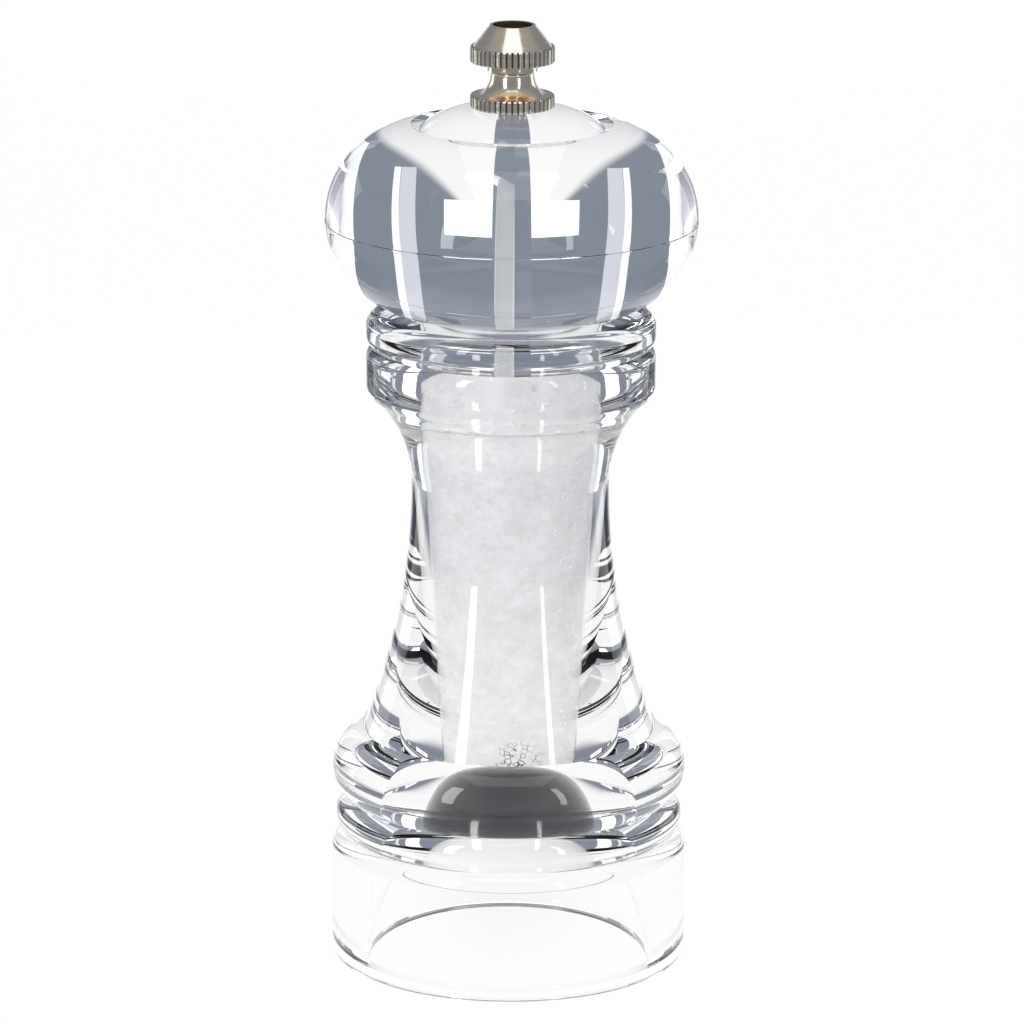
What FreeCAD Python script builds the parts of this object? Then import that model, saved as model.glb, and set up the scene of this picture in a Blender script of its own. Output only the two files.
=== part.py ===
"""Clear turned salt mill: knurled nut, solid bulb head, square shaft, hopper body and burr mechanism.

The origin is the centre of the base on the table, with +Z up along the axis. Sizes are millimetres.
"""
import FreeCAD, Part
import math
import os
import re

import Sketcher

SIZES = {
    # Outline of the clear body, as heights over the table and radii
    "base_radius": 30.0,
    "base_edge": 1.5,
    "skirt_top": 19.2,
    "shoulder_groove": 2.1,
    "shoulder_groove_height": 22.1,
    "bead_round": 3.6,
    "bulge_groove": 2.65,
    "bulge_groove_height": 28.1,
    "bulge_round": 6.7,
    "foot_step": 5.2,
    "foot_height": 39.85,
    "waist_radius": 16.6,
    "waist_height": 82.4,
    "flare_step": 1.65,
    "flare_height": 97.1,
    "ring_radius": 24.25,
    "lower_ring_bottom": 99.6,
    "ring_groove": 0.95,
    "ring_groove_height": 106.0,
    "ring_edge": 2.1,
    "body_top": 112.0,
    "rim_round": 2.6,
    # Hollows of the clear body
    "skirt_wall": 6.2,
    "cavity_draft": 0.6,
    "ceiling_height": 19.5,
    "ceiling_round": 1.5,
    "hopper_foot_radius": 12.55,
    "hopper_mouth_height": 96.0,
    "neck_bore": 15.1,
    "neck_ledge": 0.35,
    "mouth_edge": 0.5,
    # Clear head
    "head_radius": 31.1,
    "head_lower_round": 15.6,
    "head_upper_round": 15.9,
    "spigot_length": 7.6,
    "spigot_edge": 0.8,
    "rim_radius": 16.9,
    "rim_width": 1.5,
    "dome_groove": 0.7,
    "dome_rise": 3.5,
    "dome_round": 12.5,
    "dome_seat_margin": 0.25,
    # Knurled nut
    "finial_radius": 7.05,
    "finial_height": 13.8,
    "finial_edge": 0.2,
    "flange_height": 2.1,
    "neck_flare_radius": 5.7,
    "neck_radius": 3.6,
    "neck_waist": 5.55,
    "collar_radius": 4.15,
    "collar_cove": 0.6,
    "knurl_ring_bottom": 7.6,
    "knurl_ring_top": 10.3,
    "cone_step": 0.5,
    "tip_radius": 3.8,
    "tip_wall": 0.5,
    "tip_hole_floor": 8.0,
    "knurl_count": 44,
    "knurl_depth": 0.32,
    "knurl_width": 0.62,
    # Square shaft
    "shaft_side": 3.0,
    "shaft_turn": 54.0,
    "thread_radius": 1.45,
    "thread_drop": 1.6,
    "thread_engagement": 7.4,
    "thread_lead": 0.4,
    "journal_radius": 1.4,
    "journal_proud": 1.8,
    "clip_groove_radius": 1.05,
    # Salt in the hopper
    "salt_headroom": 1.0,
    "salt_mound": 0.4,
    # Burr housing and its bush
    "housing_radius": 14.0,
    "housing_height": 13.4,
    "housing_bore": 10.9,
    "housing_flange_radius": 16.6,
    "housing_flange": 1.2,
    "spider_thickness": 2.0,
    "window_inner": 5.0,
    "window_outer": 10.2,
    "window_half_angle": 46.0,
    "window_count": 3,
    "bush_radius": 3.3,
    "bush_flange_radius": 4.3,
    "bush_flange": 0.6,
    # Burrs
    "outer_burr_recess": 1.75,
    "grind_mouth_radius": 9.6,
    "grind_throat_radius": 8.6,
    "grind_height": 2.6,
    "feed_radius": 8.0,
    "feed_mouth_radius": 10.0,
    "feed_edge": 2.2,
    "outer_tooth_count": 30,
    "outer_tooth_depth": 0.6,
    "outer_tooth_width": 1.1,
    "adjust_travel": 1.0,
    "fine_gap": 0.17,
    "inner_burr_proud": 0.3,
    "inner_burr_height": 7.7,
    "inner_burr_top_radius": 5.2,
    "spring_recess_radius": 3.6,
    "spring_recess_depth": 3.8,
    "inner_tooth_count": 24,
    "inner_tooth_depth": 0.7,
    "inner_tooth_width": 1.2,
    "flute_count": 5,
    "flute_radius": 1.4,
    "flute_circle": 6.9,
    "flute_depth": 4.6,
    # Spring, washers and clip
    "spring_wire": 0.6,
    "spring_mean_radius": 3.0,
    "spring_turns": 4,
    "spring_washer": 0.6,
    "spring_washer_radius": 4.2,
    "burr_washer": 0.5,
    "burr_washer_radius": 4.6,
    "clip_thickness": 0.55,
    "clip_radius": 3.3,
    # Bridge under the burrs and its screws
    "bridge_thickness": 1.2,
    "bridge_half_width": 3.4,
    "screw_circle": 12.45,
    "screw_radius": 0.8,
    "screw_grip": 5.0,
    "screw_head_radius": 1.9,
    "screw_head": 1.2,
    "screw_slot": 0.5,
    "screw_slot_reach": 1.3,
    "screw_slot_depth": 0.6,
    # Clearances
    "seat_gap": 0.05,
    "running_gap": 0.1,
    "square_gap": 0.08,
    "head_gap": 0.2,
    "spigot_gap": 0.3,
    "salt_gap": 0.1,
}

doc = FreeCAD.newDocument("SaltMill")
sheet = doc.addObject("Spreadsheet::Sheet", "Sizes")
for row, (alias, size) in enumerate(SIZES.items(), 1):
    sheet.set(f"A{row}", alias)
    sheet.set(f"B{row}", str(size))
    sheet.setAlias(f"B{row}", alias)
doc.recompute()


def bound(text):
    """A formula over the size names, as an expression over the sheet's cells."""
    return re.sub(r"[a-z_]+", lambda word: "Sizes." * (word[0] in SIZES) + word[0], text)


def value(text):
    """The formula's present value."""
    return float(sheet.evalExpression(bound(text)))


def upright_arc(drop, rise):
    """Radius of an arc that leaves an upright side and moves by drop across over rise along it."""
    return f"(({rise})^2 + ({drop})^2) / (2 * ({drop}))"


# Heights and radii that follow from the driving sizes
CAVITY_RADIUS = "(base_radius - skirt_wall)"
CAVITY_TOP_RADIUS = f"({CAVITY_RADIUS} - cavity_draft)"
FOOT_RADIUS = "(base_radius - foot_step)"
FLARE_RADIUS = "(ring_radius - flare_step)"
HOUSING_TOP = "(ceiling_height + housing_height)"
HOUSING_SEAT = f"({HOUSING_TOP} + seat_gap)"
HOUSING_BOTTOM = "(ceiling_height - seat_gap - housing_flange)"
SPIDER_UNDERSIDE = f"({HOUSING_TOP} - spider_thickness)"
BUSH_BOTTOM = f"({SPIDER_UNDERSIDE} - seat_gap - bush_flange)"
SWEEP_RADIUS = "(shaft_side * sqrt(2) / 2)"
OUTER_BOTTOM = f"({HOUSING_BOTTOM} + outer_burr_recess)"
OUTER_TOP = f"({SPIDER_UNDERSIDE} - seat_gap)"
GRIND_SLOPE = "((grind_mouth_radius - grind_throat_radius) / grind_height)"
GRIND_GAP = f"(fine_gap + {GRIND_SLOPE} * adjust_travel)"
INNER_BOTTOM = f"({OUTER_BOTTOM} - inner_burr_proud)"
INNER_TOP = f"({INNER_BOTTOM} + inner_burr_height)"
INNER_RADIUS = f"(grind_mouth_radius + {GRIND_SLOPE} * inner_burr_proud - {GRIND_GAP})"
RECESS_FLOOR = f"({INNER_TOP} - spring_recess_depth)"
SPRING_WASHER_TOP = f"({BUSH_BOTTOM} - running_gap)"
SPRING_WASHER_BOTTOM = f"({SPRING_WASHER_TOP} - spring_washer)"
BURR_WASHER_BOTTOM = f"({INNER_BOTTOM} - seat_gap - burr_washer)"
CLIP_BOTTOM = f"({BURR_WASHER_BOTTOM} - seat_gap - clip_thickness)"
BRIDGE_TOP = f"({HOUSING_BOTTOM} - seat_gap)"
BRIDGE_BOTTOM = f"({BRIDGE_TOP} - bridge_thickness)"
SCREW_HEAD_TOP = f"({BRIDGE_BOTTOM} - seat_gap)"
HEAD_BOTTOM = "(body_top + head_gap)"
HEAD_MIDDLE = f"({HEAD_BOTTOM} + head_lower_round)"
SPIGOT_BOTTOM = f"({HEAD_BOTTOM} - spigot_length)"
SPIGOT_RADIUS = "(neck_bore - spigot_gap)"
HOPPER_MOUTH = "(neck_bore - neck_ledge)"
SALT_TOP = f"({SPIGOT_BOTTOM} - salt_headroom)"
RIM_HEIGHT = f"({HEAD_MIDDLE} + sqrt(head_upper_round^2 - (rim_radius - head_radius + head_upper_round)^2))"
NUT_SEAT = f"({RIM_HEIGHT} - dome_groove + dome_rise)"
FINIAL_BOTTOM = f"({NUT_SEAT} + running_gap)"
THREAD_BORE = "(thread_radius + running_gap)"
THREAD_BOTTOM = f"({NUT_SEAT} - thread_drop)"
THREAD_TOP = f"({FINIAL_BOTTOM} + thread_engagement)"


def hopper_radius(height):
    """Radius of the tapered hopper at a height between its foot and its mouth."""
    share = f"({height} - {HOUSING_SEAT}) / (hopper_mouth_height - {HOUSING_SEAT})"
    return f"(hopper_foot_radius + ({HOPPER_MOUTH} - hopper_foot_radius) * {share})"


def new_body(label):
    body = doc.addObject("PartDesign::Body", label)
    body.Label = label
    return body


def new_sketch(body, name, role="XY_Plane", height=None, turn=None):
    """A sketch on one of the body's origin planes, lifted and turned by formulas where given."""
    sketch = body.newObject("Sketcher::SketchObject", name)
    plane = next(feature for feature in body.Origin.OriginFeatures if feature.Role == role)
    sketch.AttachmentSupport = [(plane, "")]
    sketch.MapMode = "FlatFace"
    if height:
        sketch.setExpression("AttachmentOffset.Base.z", bound(height))
    if turn:
        sketch.setExpression("AttachmentOffset.Rotation.Angle", bound(turn))
    return sketch


def hold(sketch, constraint, formula):
    """Adds a dimension and ties it to its formula."""
    index = sketch.addConstraint(constraint)
    sketch.setExpression(f"Constraints[{index}]", bound(formula))


def hold_point(sketch, geometry, position, x, y):
    for kind, formula in (("DistanceX", x), ("DistanceY", y)):
        hold(sketch, Sketcher.Constraint(kind, -1, 1, geometry, position, value(formula)), formula)


def arc_between(start, end, radius, turn):
    """The lesser arc from start to end, to the left for turn 1 and to the right for turn -1."""
    chord = end - start
    half = chord.Length / 2
    left = FreeCAD.Vector(-chord.y, chord.x, 0) / chord.Length
    centre = (start + end) / 2 + left * (turn * math.sqrt(radius * radius - half * half))
    first, last = (start, end) if turn > 0 else (end, start)
    angles = [math.atan2(point.y - centre.y, point.x - centre.x) for point in (first, last)]
    circle = Part.Circle(centre, FreeCAD.Vector(0, 0, 1), radius)
    return Part.ArcOfCircle(circle, angles[0], angles[1])


def draw_outline(sketch, steps):
    """A closed outline. Each step is the next corner (x, y), or (x, y, radius, turn) at an arc's end."""
    corners = [FreeCAD.Vector(value(step[0]), value(step[1]), 0) for step in steps]
    sides = []
    for index, step in enumerate(steps):
        start, end = corners[index - 1], corners[index]
        if len(step) == 2:
            geometry = sketch.addGeometry(Part.LineSegment(start, end), False)
            sides.append((geometry, 1, 2))
            continue
        radius, turn = step[2:]
        geometry = sketch.addGeometry(arc_between(start, end, value(radius), turn), False)
        sides.append((geometry, 1, 2) if turn > 0 else (geometry, 2, 1))
        hold(sketch, Sketcher.Constraint("Radius", geometry, value(radius)), radius)
    for index, (geometry, start, end) in enumerate(sides):
        before, _, before_end = sides[index - 1]
        sketch.addConstraint(Sketcher.Constraint("Coincident", before, before_end, geometry, start))
        hold_point(sketch, geometry, end, *steps[index][:2])


def draw_circle(sketch, x, y, radius):
    centre = FreeCAD.Vector(value(x), value(y), 0)
    circle = Part.Circle(centre, FreeCAD.Vector(0, 0, 1), value(radius))
    geometry = sketch.addGeometry(circle, False)
    hold(sketch, Sketcher.Constraint("Radius", geometry, value(radius)), radius)
    hold_point(sketch, geometry, 3, x, y)


def draw_rectangle(sketch, half_x, half_y):
    corners = ((1, 1), (-1, 1), (-1, -1), (1, -1))
    draw_outline(sketch, [(f"{x} * {half_x}", f"{y} * {half_y}") for x, y in corners])


def turned(label, steps):
    """A body turned about the axis from a closed outline of radii and heights."""
    body = new_body(label)
    sketch = new_sketch(body, f"{label}_outline", "XZ_Plane")
    draw_outline(sketch, steps)
    revolution = body.newObject("PartDesign::Revolution", f"{label}_turning")
    revolution.Profile = sketch
    revolution.ReferenceAxis = (sketch, ["V_Axis"])
    revolution.Angle = 360
    body.Tip = revolution
    doc.recompute()
    return body


def pad(body, sketch, length):
    feature = body.newObject("PartDesign::Pad", f"{sketch.Name}_pad")
    feature.Profile = sketch
    feature.setExpression("Length", bound(length))
    body.Tip = feature
    doc.recompute()
    return feature


def pocket(body, sketch, length=None, upwards=True):
    """Cuts the sketch into the body, over a length or right through, and makes sure that it cut."""
    before = body.Shape.Volume
    feature = body.newObject("PartDesign::Pocket", f"{sketch.Name}_pocket")
    feature.Profile = sketch
    feature.Reversed = upwards
    if length:
        feature.setExpression("Length", bound(length))
    else:
        feature.Type = "ThroughAll"
    body.Tip = feature
    doc.recompute()
    if not body.Shape.Volume < before:
        raise RuntimeError(f"{feature.Name} cuts nothing")
    return feature


def repeat_round(body, feature, sketch, count):
    pattern = body.newObject("PartDesign::PolarPattern", f"{feature.Name}_round")
    pattern.Originals = [feature]
    pattern.Axis = (sketch, ["N_Axis"])
    pattern.Angle = 360
    pattern.setExpression("Occurrences", bound(count))
    body.Tip = pattern
    doc.recompute()


def square_hole(body, height):
    """The hole that the square shaft passes through."""
    sketch = new_sketch(body, f"{body.Name}_square", height=height, turn="shaft_turn")
    half = "(shaft_side / 2 + square_gap)"
    draw_rectangle(sketch, half, half)
    pocket(body, sketch)


def clear_body():
    """Two neck rings, waist, bulge, bead and hollow skirt, bored for salt, mechanism and head."""
    seat = "(housing_radius + seat_gap)"
    ring_groove_arc = upright_arc("ring_groove", "ring_edge")
    return turned("body", [
        (CAVITY_RADIUS, "0"),
        ("base_radius - base_edge", "0"),
        ("base_radius", "base_edge", "base_edge", 1),
        ("base_radius", "skirt_top"),
        ("base_radius - shoulder_groove", "shoulder_groove_height", upright_arc(
            "shoulder_groove", "shoulder_groove_height - skirt_top"), 1),
        ("base_radius - bulge_groove", "bulge_groove_height", "bead_round", 1),
        (FOOT_RADIUS, "foot_height", "bulge_round", 1),
        ("waist_radius", "waist_height", upright_arc(
            f"{FOOT_RADIUS} - waist_radius", "waist_height - foot_height"), -1),
        (FLARE_RADIUS, "flare_height", upright_arc(
            f"{FLARE_RADIUS} - waist_radius", "flare_height - waist_height"), -1),
        ("ring_radius", "lower_ring_bottom", upright_arc(
            "flare_step", "lower_ring_bottom - flare_height"), 1),
        ("ring_radius", "ring_groove_height - ring_edge"),
        ("ring_radius - ring_groove", "ring_groove_height", ring_groove_arc, 1),
        ("ring_radius", "ring_groove_height + ring_edge", ring_groove_arc, 1),
        ("ring_radius", "body_top - rim_round"),
        ("ring_radius - rim_round", "body_top", "rim_round", 1),
        ("neck_bore + mouth_edge", "body_top"),
        ("neck_bore", "body_top - mouth_edge"),
        ("neck_bore", "hopper_mouth_height"),
        (HOPPER_MOUTH, "hopper_mouth_height"),
        ("hopper_foot_radius", HOUSING_SEAT),
        (seat, HOUSING_SEAT),
        (seat, "ceiling_height"),
        (f"{CAVITY_TOP_RADIUS} - ceiling_round", "ceiling_height"),
        (CAVITY_TOP_RADIUS, "ceiling_height - ceiling_round", "ceiling_round", -1),
    ])


def clear_head():
    """Solid bulb with a low dome under the nut, on a spigot that turns in the neck."""
    body = turned("head", [
        ("0", SPIGOT_BOTTOM),
        (f"{SPIGOT_RADIUS} - spigot_edge", SPIGOT_BOTTOM),
        (SPIGOT_RADIUS, f"{SPIGOT_BOTTOM} + spigot_edge"),
        (SPIGOT_RADIUS, HEAD_BOTTOM),
        ("head_radius - head_lower_round", HEAD_BOTTOM),
        ("head_radius", HEAD_MIDDLE, "head_lower_round", 1),
        ("rim_radius", RIM_HEIGHT, "head_upper_round", 1),
        ("rim_radius - rim_width", f"{RIM_HEIGHT} - dome_groove"),
        ("finial_radius + dome_seat_margin", NUT_SEAT, "dome_round", 1),
        ("0", NUT_SEAT),
    ])
    square_hole(body, SPIGOT_BOTTOM)
    return body


def finial():
    """Knurled nut: flange, coved neck with a collar, upper ring and open cone, threaded on the shaft."""
    bottom = FINIAL_BOTTOM
    inset = "(finial_radius - finial_edge)"
    body = turned("finial", [
        (THREAD_BORE, f"{bottom} + finial_edge"),
        (f"{THREAD_BORE} + finial_edge", bottom),
        (inset, bottom),
        ("finial_radius", f"{bottom} + finial_edge"),
        ("finial_radius", f"{bottom} + flange_height - finial_edge"),
        (inset, f"{bottom} + flange_height"),
        ("neck_flare_radius", f"{bottom} + flange_height"),
        ("neck_radius", f"{bottom} + neck_waist", upright_arc(
            "neck_flare_radius - neck_radius", "neck_waist - flange_height"), -1),
        ("collar_radius", f"{bottom} + neck_waist + collar_cove", upright_arc(
            "collar_radius - neck_radius", "collar_cove"), -1),
        ("collar_radius", f"{bottom} + knurl_ring_bottom"),
        (inset, f"{bottom} + knurl_ring_bottom"),
        ("finial_radius", f"{bottom} + knurl_ring_bottom + finial_edge"),
        ("finial_radius", f"{bottom} + knurl_ring_top - finial_edge"),
        (inset, f"{bottom} + knurl_ring_top"),
        ("finial_radius - cone_step", f"{bottom} + knurl_ring_top"),
        ("tip_radius", f"{bottom} + finial_height"),
        ("tip_radius - tip_wall", f"{bottom} + finial_height"),
        ("tip_radius - tip_wall", f"{bottom} + tip_hole_floor"),
        (THREAD_BORE, f"{bottom} + tip_hole_floor"),
    ])
    sketch = new_sketch(body, "knurl", height=bottom)
    outside = "finial_radius + knurl_depth"
    draw_outline(sketch, [
        ("finial_radius - knurl_depth", "0"),
        (outside, "-knurl_width"),
        (outside, "knurl_width"),
    ])
    repeat_round(body, pocket(body, sketch), sketch, "knurl_count")
    return body


def drive_shaft():
    """Square rod, turned round for the nut's thread at the top and for clip and bridge below."""
    body = new_body("drive_shaft")
    square = new_sketch(body, "shaft_square", height=BURR_WASHER_BOTTOM, turn="shaft_turn")
    draw_rectangle(square, "(shaft_side / 2)", "(shaft_side / 2)")
    pad(body, square, f"{THREAD_BOTTOM} - {BURR_WASHER_BOTTOM}")
    ends = new_sketch(body, "shaft_ends", "XZ_Plane")
    journal_bottom = f"{BRIDGE_BOTTOM} - journal_proud"
    clip_top = f"{BURR_WASHER_BOTTOM} - seat_gap / 2"
    groove_bottom = f"{CLIP_BOTTOM} - seat_gap"
    draw_outline(ends, [
        ("0", journal_bottom),
        ("journal_radius - thread_lead", journal_bottom),
        ("journal_radius", f"{journal_bottom} + thread_lead"),
        ("journal_radius", groove_bottom),
        ("clip_groove_radius", groove_bottom),
        ("clip_groove_radius", clip_top),
        ("journal_radius", clip_top),
        ("journal_radius", f"{THREAD_BOTTOM} - thread_drop"),
        ("thread_radius", f"{THREAD_BOTTOM} - thread_drop"),
        ("thread_radius", f"{THREAD_TOP} - thread_lead"),
        ("thread_radius - thread_lead", THREAD_TOP),
        ("0", THREAD_TOP),
    ])
    turning = body.newObject("PartDesign::Revolution", "shaft_ends_turning")
    turning.Profile = ends
    turning.ReferenceAxis = (ends, ["V_Axis"])
    turning.Angle = 360
    body.Tip = turning
    doc.recompute()
    return body


def salt_fill():
    """Coarse salt that fills hopper and neck round the shaft, heaped a little towards the middle."""
    bottom = f"({HOUSING_SEAT} + salt_gap)"
    ledge = "(hopper_mouth_height + salt_gap)"
    hole = f"({SWEEP_RADIUS} + salt_gap)"
    return turned("salt_fill", [
        (hole, bottom),
        (f"{hopper_radius(bottom)} - salt_gap", bottom),
        (f"{HOPPER_MOUTH} - salt_gap", ledge),
        ("neck_bore - salt_gap", ledge),
        ("neck_bore - salt_gap", SALT_TOP),
        (hole, f"{SALT_TOP} + salt_mound"),
    ])


def burr_housing():
    """Dark insert in the body's seat: flanged sleeve with a three-armed spider over the burrs."""
    flange_top = "(ceiling_height - seat_gap)"
    hub_hole = "(bush_radius + seat_gap)"
    body = turned("burr_housing", [
        ("housing_bore", HOUSING_BOTTOM),
        ("housing_flange_radius", HOUSING_BOTTOM),
        ("housing_flange_radius", flange_top),
        ("housing_radius", flange_top),
        ("housing_radius", HOUSING_TOP),
        (hub_hole, HOUSING_TOP),
        (hub_hole, SPIDER_UNDERSIDE),
        ("housing_bore", SPIDER_UNDERSIDE),
    ])
    window = new_sketch(body, "spider_window", height=SPIDER_UNDERSIDE)
    across, along = "cos(window_half_angle)", "sin(window_half_angle)"
    draw_outline(window, [
        (f"window_inner * {across}", f"-window_inner * {along}"),
        (f"window_outer * {across}", f"-window_outer * {along}"),
        (f"window_outer * {across}", f"window_outer * {along}", "window_outer", 1),
        (f"window_inner * {across}", f"window_inner * {along}"),
    ])
    repeat_round(body, pocket(body, window, "spider_thickness"), window, "window_count")
    holes = new_sketch(body, "housing_screw_holes", height=HOUSING_BOTTOM)
    for side in ("screw_circle", "-screw_circle"):
        draw_circle(holes, side, "0", "screw_radius + seat_gap")
    pocket(body, holes, "screw_grip + running_gap")
    return body


def shaft_bush():
    """Flanged bush in the spider's hub, which the corners of the shaft turn in."""
    bore = f"({SWEEP_RADIUS} + running_gap)"
    flange_top = f"{SPIDER_UNDERSIDE} - seat_gap"
    return turned("shaft_bush", [
        (bore, BUSH_BOTTOM),
        ("bush_flange_radius", BUSH_BOTTOM),
        ("bush_flange_radius", flange_top),
        ("bush_radius", flange_top),
        ("bush_radius", HOUSING_TOP),
        (bore, HOUSING_TOP),
    ])


def outer_burr():
    """Fixed grinding ring: funnel at the top, toothed cone that opens downwards at the bottom."""
    outside = "(housing_bore - seat_gap)"
    body = turned("outer_burr", [
        ("grind_mouth_radius", OUTER_BOTTOM),
        (outside, OUTER_BOTTOM),
        (outside, OUTER_TOP),
        ("feed_mouth_radius", OUTER_TOP),
        ("feed_radius", f"{OUTER_TOP} - feed_edge"),
        ("grind_throat_radius", f"{OUTER_BOTTOM} + grind_height"),
    ])
    tooth = new_sketch(body, "outer_tooth", height=OUTER_BOTTOM)
    draw_outline(tooth, [
        ("grind_mouth_radius + outer_tooth_depth", "0"),
        ("grind_throat_radius", "outer_tooth_width / 2"),
        ("grind_throat_radius", "-outer_tooth_width / 2"),
    ])
    repeat_round(body, pocket(body, tooth, "grind_height"), tooth, "outer_tooth_count")
    return body


def inner_burr():
    """Grinding cone on the shaft: fine teeth at its foot, feed flutes above, spring recess on top."""
    body = turned("inner_burr", [
        ("0", INNER_BOTTOM),
        (INNER_RADIUS, INNER_BOTTOM),
        (f"grind_throat_radius - {GRIND_GAP}", f"{OUTER_BOTTOM} + grind_height"),
        ("inner_burr_top_radius", INNER_TOP),
        ("spring_recess_radius", INNER_TOP),
        ("spring_recess_radius", RECESS_FLOOR),
        ("0", RECESS_FLOOR),
    ])
    square_hole(body, INNER_BOTTOM)
    tooth = new_sketch(body, "inner_tooth", height=INNER_BOTTOM)
    outside = f"{INNER_RADIUS} + inner_tooth_depth"
    draw_outline(tooth, [
        (f"{INNER_RADIUS} - inner_tooth_depth", "0"),
        (outside, "-inner_tooth_width"),
        (outside, "inner_tooth_width"),
    ])
    repeat_round(body, pocket(body, tooth, "grind_height"), tooth, "inner_tooth_count")
    flute = new_sketch(body, "feed_flute", height=f"{INNER_TOP} - flute_depth")
    draw_circle(flute, "flute_circle", "0", "flute_radius")
    repeat_round(body, pocket(body, flute), flute, "flute_count")
    return body


def square_washer(label, radius, bottom, thickness):
    """A washer that the square shaft turns."""
    body = new_body(label)
    disc = new_sketch(body, f"{label}_disc", height=bottom)
    draw_circle(disc, "0", "0", radius)
    pad(body, disc, thickness)
    square_hole(body, bottom)
    return body


def shaft_clip():
    """Retaining clip pushed sideways into the shaft's groove."""
    body = new_body("shaft_clip")
    disc = new_sketch(body, "clip_disc", height=CLIP_BOTTOM)
    draw_circle(disc, "0", "0", "clip_radius")
    pad(body, disc, "clip_thickness")
    slot = new_sketch(body, "clip_slot", height=CLIP_BOTTOM)
    half = "(clip_groove_radius + seat_gap)"
    draw_outline(slot, [
        ("clip_radius * 2", f"-{half}"),
        ("clip_radius * 2", half),
        ("0", half),
        (f"-{half}", "0", half, 1),
        ("0", f"-{half}", half, 1),
    ])
    pocket(body, slot)
    return body


def bottom_bridge():
    """Steel strip across the housing's underside, with round ends and three holes."""
    body = new_body("bottom_bridge")
    strip = new_sketch(body, "bridge_strip", height=BRIDGE_BOTTOM)
    half = "bridge_half_width"
    draw_outline(strip, [
        ("screw_circle", f"-{half}"),
        (f"screw_circle + {half}", "0", half, 1),
        ("screw_circle", half, half, 1),
        ("-screw_circle", half),
        (f"-screw_circle - {half}", "0", half, 1),
        ("-screw_circle", f"-{half}", half, 1),
    ])
    draw_circle(strip, "0", "0", "journal_radius + running_gap")
    for side in ("screw_circle", "-screw_circle"):
        draw_circle(strip, side, "0", "screw_radius + running_gap")
    pad(body, strip, "bridge_thickness")
    return body


def bridge_screws():
    """Two cross-slotted screws, one turned piece and its mirror image."""
    screw = new_body("screw")
    shank = new_sketch(screw, "screw_shank", height=SCREW_HEAD_TOP)
    draw_circle(shank, "screw_circle", "0", "screw_radius")
    pad(screw, shank, f"screw_grip + {HOUSING_BOTTOM} - {SCREW_HEAD_TOP}")
    head_bottom = f"({SCREW_HEAD_TOP} - screw_head)"
    head = new_sketch(screw, "screw_head_disc", height=head_bottom)
    draw_circle(head, "screw_circle", "0", "screw_head_radius")
    pad(screw, head, "screw_head")
    reach = "screw_slot_reach"
    width = "screw_slot / 2"
    for name, along, across in (("slot_long", reach, width), ("slot_cross", width, reach)):
        slot = new_sketch(screw, name, height=head_bottom)
        low, high = f"screw_circle - {along}", f"screw_circle + {along}"
        draw_outline(slot, [
            (low, f"-{across}"),
            (high, f"-{across}"),
            (high, across),
            (low, across),
        ])
        pocket(screw, slot, "screw_slot_depth")
    mirror = doc.addObject("Part::Mirroring", "screw_mirror")
    mirror.Source = screw
    mirror.Normal = FreeCAD.Vector(1, 0, 0)
    pair = doc.addObject("Part::Compound", "bridge_screws")
    pair.Label = "bridge_screws"
    pair.Links = [screw, mirror]
    doc.recompute()
    return pair


def biarc(start, start_way, end, end_way):
    """Two arcs that join start to end and leave and arrive along the given unit directions."""
    span = end - start
    ways = start_way + end_way
    spread = 2 * (1 - start_way.dot(end_way))
    reach = (math.sqrt(span.dot(ways) ** 2 + 2 * spread * span.dot(span) / 2) - span.dot(ways)) / spread
    corners = (start + start_way * reach, end - end_way * reach)
    middle = (corners[0] + corners[1]) / 2
    edges = []
    for first, corner, last in ((start, corners[0], middle), (middle, corners[1], end)):
        centre = (first + last) / 2
        half = (last - first).Length / 2
        height = (corner - centre).Length
        sagitta = half * math.tan(math.atan2(height, half) / 2)
        edges.append(Part.Arc(first, centre + (corner - centre) * (sagitta / height), last).toShape())
    return edges


def burr_spring():
    """Open coil spring between the cone's recess and the upper washer, wound as one tube."""
    wire = value("spring_wire")
    radius = value("spring_mean_radius")
    turns = int(value("spring_turns"))
    low = value(f"{RECESS_FLOOR} + spring_wire / 2 + seat_gap")
    high = value(f"{SPRING_WASHER_BOTTOM} - spring_wire / 2 - seat_gap")
    climb = (high - low) / (2 * math.pi * turns)

    def point(angle):
        return FreeCAD.Vector(radius * math.cos(angle), radius * math.sin(angle), low + climb * angle)

    def way(angle):
        return FreeCAD.Vector(-radius * math.sin(angle), radius * math.cos(angle), climb).normalize()

    edges = []
    for quarter in range(4 * turns):
        first, last = quarter * math.pi / 2, (quarter + 1) * math.pi / 2
        edges += biarc(point(first), way(first), point(last), way(last))
    path = Part.Wire(edges)
    section = Part.Wire(Part.Circle(point(0), way(0), wire / 2).toShape())
    shape = path.makePipeShell([section], True, False)
    steps = 100 * turns
    samples = [point(2 * math.pi * turns * step / steps) for step in range(steps)]
    half_turn = steps // (2 * turns)
    gap = min(
        (samples[i] - samples[j]).Length for i in range(steps) for j in range(i + half_turn, steps)
    ) - wire
    print(f"burr_spring: least gap to itself {gap:.3f} mm")
    feature = doc.addObject("Part::Feature", "burr_spring")
    feature.Label = "burr_spring"
    feature.Shape = shape if shape.ShapeType == "Solid" else shape.Solids[0]
    return feature


nodes = [
    clear_body(),
    clear_head(),
    finial(),
    drive_shaft(),
    salt_fill(),
    burr_housing(),
    shaft_bush(),
    outer_burr(),
    inner_burr(),
    burr_spring(),
    square_washer("spring_washer", "spring_washer_radius", SPRING_WASHER_BOTTOM, "spring_washer"),
    square_washer("burr_washer", "burr_washer_radius", BURR_WASHER_BOTTOM, "burr_washer"),
    shaft_clip(),
    bottom_bridge(),
    bridge_screws(),
]
doc.recompute()

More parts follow.
